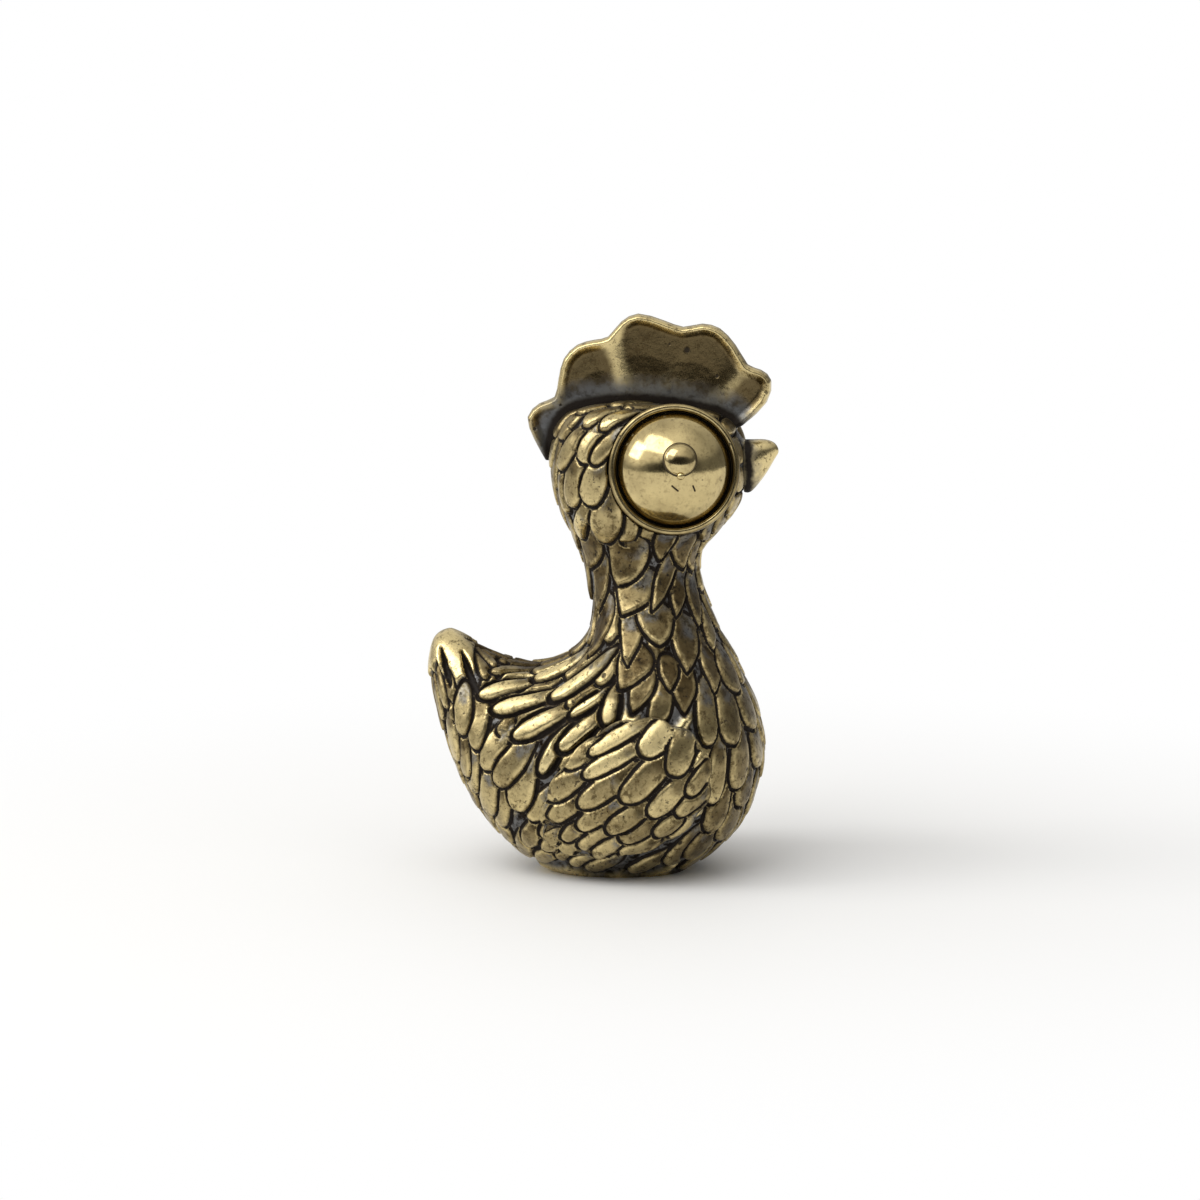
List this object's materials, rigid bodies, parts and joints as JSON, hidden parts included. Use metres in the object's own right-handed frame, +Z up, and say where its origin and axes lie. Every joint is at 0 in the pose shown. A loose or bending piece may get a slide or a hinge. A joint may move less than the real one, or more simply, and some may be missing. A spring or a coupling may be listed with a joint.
{
  "type": "rooster figurine",
  "caption": "Small solid brass rooster ornament with a feathered body, upright tail, lobed comb, short beak, large domed eyes and low-relief wings; stands on its flat underside.",
  "frame": {"origin": "on the plane the figure stands on, under the middle of its length and width", "axes": "+Z up; the rooster faces -Y, its left side is at +X"},
  "size_m": [0.0196, 0.024, 0.0381],
  "materials": {
    "plumage_brass": "aged cast brass: polished feather tops, dark patina in the grooves",
    "comb_brass": "aged cast brass: darker hollows, rubbed bright edge",
    "beak_brass": "aged cast brass, rubbed bright at the tip",
    "eye_brass": "polished brass"
  },
  "bodies": {
    "root": {"body": "plumage_brass", "comb": "comb_brass", "beak": "beak_brass", "left_eye_rim": "eye_brass", "right_eye_rim": "eye_brass", "left_eye_dome": "eye_brass", "right_eye_dome": "eye_brass", "left_pupil": "eye_brass", "right_pupil": "eye_brass", "left_wing": "plumage_brass", "right_wing": "plumage_brass"}
  },
  "joints": []
}
